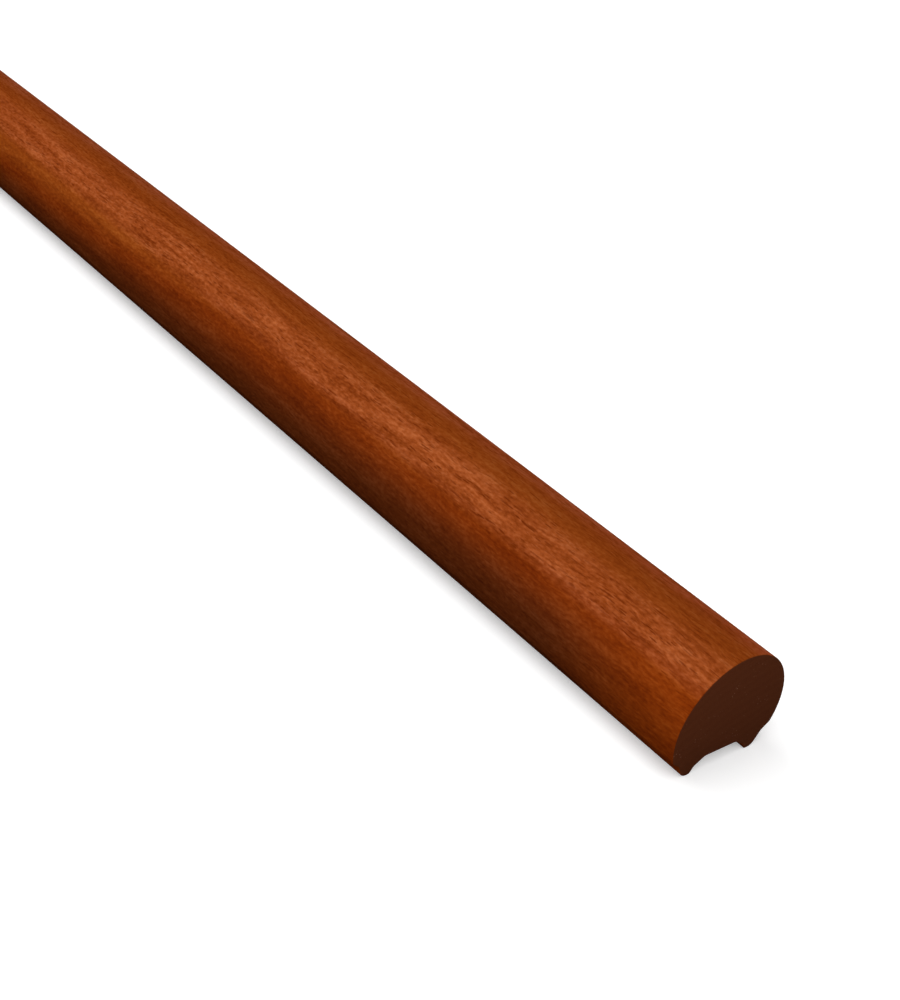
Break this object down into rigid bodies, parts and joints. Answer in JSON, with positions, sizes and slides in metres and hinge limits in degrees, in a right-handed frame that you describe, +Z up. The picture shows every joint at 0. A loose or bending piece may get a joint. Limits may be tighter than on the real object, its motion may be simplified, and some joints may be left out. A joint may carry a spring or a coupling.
{
  "type": "stair handrail length",
  "caption": "Length of stained hardwood stair handrail with a round grip and a shallow bracket channel between two feet, cut square at both ends.",
  "frame": {"origin": "middle of the length, on the level that the soles of the two feet rest on", "axes": "+X along the rail, +Z up through the round grip, Y across the rail from foot to foot"},
  "size_m": [2.4, 0.0538, 0.046],
  "materials": {
    "stained_hardwood": "open-pored reddish hardwood, stained red-brown, satin lacquer; darker end grain"
  },
  "bodies": {
    "root": {"handrail": "stained_hardwood"}
  },
  "joints": []
}
